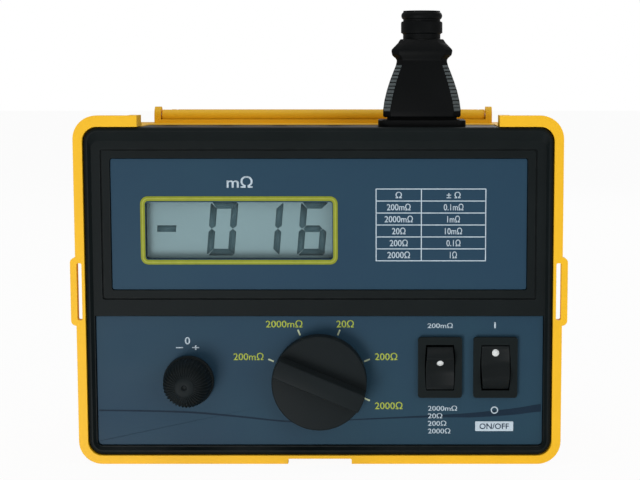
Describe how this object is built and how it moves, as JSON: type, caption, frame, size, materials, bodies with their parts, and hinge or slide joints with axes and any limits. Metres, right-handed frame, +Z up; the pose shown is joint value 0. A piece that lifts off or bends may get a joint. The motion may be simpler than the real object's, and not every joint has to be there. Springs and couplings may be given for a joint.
{
  "type": "milliohm meter",
  "caption": "Bench milliohm meter in a moulded carrying case with a fold-back lid, display window, range knob, zero knob, rocker switches and a plugged-in mains connector.",
  "frame": {"origin": "middle of the case's width and depth, on the surface that the case stands on", "axes": "+X to the right as seen from the front, -Y towards the user, +Z up"},
  "size_m": [0.17, 0.1118, 0.1555],
  "materials": {
    "case_yellow": "moulded, fine grain",
    "frame_black": "moulded, satin",
    "panel_blue": "printed film, satin",
    "clear_window": "clear acrylic",
    "display_glass": "liquid crystal glass",
    "switch_black": "moulded, semi-gloss",
    "plug_black": "moulded, dull",
    "contact_rubber": "conductive strip",
    "board_green": "glass epoxy, lacquered",
    "part_dark": "moulded electronics",
    "steel": "zinc plated",
    "brass": "bare or nickel plated",
    "winding": "enamelled wire under tape",
    "fuse_glass": "glass tube with metal caps",
    "shaft_grey": "moulded"
  },
  "bodies": {
    "case": {"case_shell": "case_yellow", "front_frame": "frame_black", "upper_panel": "panel_blue", "lower_panel": "panel_blue", "display_window": "clear_window", "display_glass": "display_glass", "range_rocker_housing": "switch_black", "power_rocker_housing": "switch_black", "display_holder": "switch_black", "inlet_housing": "plug_black", "test_sockets": "plug_black", "contact_strips": "contact_rubber", "display_board": "board_green", "main_board": "board_green", "converter_chip": "part_dark", "smoothing_capacitors": "part_dark", "range_resistors": "part_dark", "range_switch_body": "part_dark", "case_hinge_rod": "steel", "case_screws": "steel", "board_screws": "steel", "transformer_core": "steel", "range_switch_nut": "steel", "zero_pot_nut": "steel", "socket_nuts": "steel", "zero_pot_body": "steel", "inlet_pins": "steel", "board_spacers": "brass", "socket_contacts": "brass", "range_rocker_terminals": "brass", "power_rocker_terminals": "brass", "fuse_clips": "brass", "transformer_coil": "winding", "fuse": "fuse_glass"},
    "range_knob": {"range_knob": "frame_black", "range_switch_shaft": "shaft_grey", "range_knob_screw": "steel"},
    "zero_knob": {"zero_knob": "frame_black", "zero_pot_shaft": "shaft_grey"},
    "range_rocker": {"range_rocker": "switch_black"},
    "power_rocker": {"power_rocker": "switch_black"},
    "mains_connector": {"connector_front_shell": "plug_black", "connector_rear_shell": "plug_black", "connector_nose": "plug_black", "connector_contacts": "brass", "cord_clamp": "plug_black", "connector_screw": "steel"},
    "hinge_link": {"hinge_link": "case_yellow", "lid_hinge_rod": "steel"},
    "lid": {"lid": "case_yellow"}
  },
  "joints": [
    {"name": "range_knob_turn", "type": "hinge", "parent": "case", "child": "range_knob", "pos_m": [0, -0.032, 0.0288], "axis": [0, -1, 0], "range_deg": [0, 180]},
    {"name": "zero_knob_turn", "type": "hinge", "parent": "case", "child": "zero_knob", "pos_m": [-0.0452, -0.032, 0.0288], "axis": [0, -1, 0], "range_deg": [-140, 140]},
    {"name": "range_rocker_tilt", "type": "hinge", "parent": "case", "child": "range_rocker", "pos_m": [0.0415, -0.0255, 0.03345], "axis": [1, 0, 0], "range_deg": [-31, 0]},
    {"name": "power_rocker_tilt", "type": "hinge", "parent": "case", "child": "power_rocker", "pos_m": [0.0606, -0.0255, 0.03345], "axis": [1, 0, 0], "range_deg": [0, 31]},
    {"name": "connector_pull", "type": "slide", "parent": "case", "child": "mains_connector", "axis": [0, 0, 1], "range_m": [0, 0.02]},
    {"name": "link_swing", "type": "hinge", "parent": "case", "child": "hinge_link", "pos_m": [0, 0.015, 0.1188], "axis": [1, 0, 0], "range_deg": [0, 90]},
    {"name": "lid_swing", "type": "hinge", "parent": "hinge_link", "child": "lid", "pos_m": [0, 0.0623, 0.11797], "axis": [1, 0, 0], "range_deg": [0, 180]}
  ]
}
